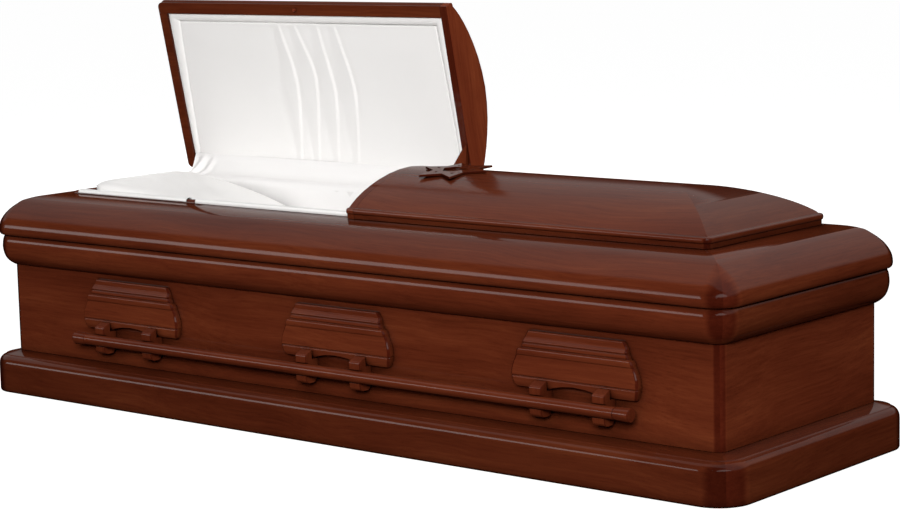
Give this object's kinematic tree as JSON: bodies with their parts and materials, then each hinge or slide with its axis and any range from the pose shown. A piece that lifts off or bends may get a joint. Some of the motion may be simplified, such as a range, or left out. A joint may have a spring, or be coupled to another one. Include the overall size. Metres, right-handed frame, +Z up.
{
  "type": "wooden coffin",
  "caption": "Polished hardwood coffin with moulded plinth and rim, hipped half couch lid open at the head, bar handles, white lining and a six-pointed star.",
  "frame": {"origin": "ground, in the middle of the coffin's length and depth", "axes": "+X along the length towards the foot end, +Y towards the back where the head cap is hinged, +Z up"},
  "size_m": [2.135, 0.6994, 0.9191],
  "materials": {
    "mahogany": "dark reddish brown, high gloss lacquer over open straight grain",
    "star_wood": "dark reddish brown, gloss lacquer",
    "plain_timber": "unpolished board",
    "white_lining": "white crepe, soft sheen",
    "pillow_cover": "white satin, soft sheen",
    "hinge_metal": "antique brown"
  },
  "bodies": {
    "box": {"back_base": "mahogany", "back_body_moulding": "mahogany", "back_foot_bar_tip": "mahogany", "back_foot_ear": "mahogany", "back_foot_left_arm": "mahogany", "back_foot_right_arm": "mahogany", "back_handle_bar": "mahogany", "back_head_bar_tip": "mahogany", "back_head_ear": "mahogany", "back_head_left_arm": "mahogany", "back_head_right_arm": "mahogany", "back_lining": "white_lining", "back_middle_ear": "mahogany", "back_middle_left_arm": "mahogany", "back_middle_right_arm": "mahogany", "back_panel": "mahogany", "back_rim": "mahogany", "bed_board": "plain_timber", "bed_pad": "white_lining", "floor_board": "plain_timber", "foot_bed_support": "plain_timber", "foot_cap": "mahogany", "foot_cap_end_board": "mahogany", "foot_end_base": "mahogany", "foot_end_body_moulding": "mahogany", "foot_end_lining": "white_lining", "foot_end_panel": "mahogany", "foot_end_rim": "mahogany", "front_base": "mahogany", "front_body_moulding": "mahogany", "front_foot_bar_tip": "mahogany", "front_foot_ear": "mahogany", "front_foot_left_arm": "mahogany", "front_foot_right_arm": "mahogany", "front_handle_bar": "mahogany", "front_head_bar_tip": "mahogany", "front_head_ear": "mahogany", "front_head_left_arm": "mahogany", "front_head_right_arm": "mahogany", "front_lining": "white_lining", "front_middle_ear": "mahogany", "front_middle_left_arm": "mahogany", "front_middle_right_arm": "mahogany", "front_panel": "mahogany", "front_rim": "mahogany", "head_bed_support": "plain_timber", "head_end_base": "mahogany", "head_end_body_moulding": "mahogany", "head_end_lining": "white_lining", "head_end_panel": "mahogany", "head_end_rim": "mahogany", "hinge_knuckle": "hinge_metal", "pillow": "pillow_cover", "star": "star_wood"},
    "head_lid": {"catch_pin": "mahogany", "corner_wedge": "mahogany", "head_cap": "mahogany", "head_cap_end_board": "mahogany", "head_cap_lining": "white_lining", "hinge_leaf": "hinge_metal"}
  },
  "joints": [
    {"name": "head_lid_hinge", "type": "hinge", "parent": "box", "child": "head_lid", "pos_m": [-0.467, 0.2333, 0.4746], "axis": [1, 0, 0], "range_deg": [0, 78.2], "deforming": ["pillow"]}
  ]
}
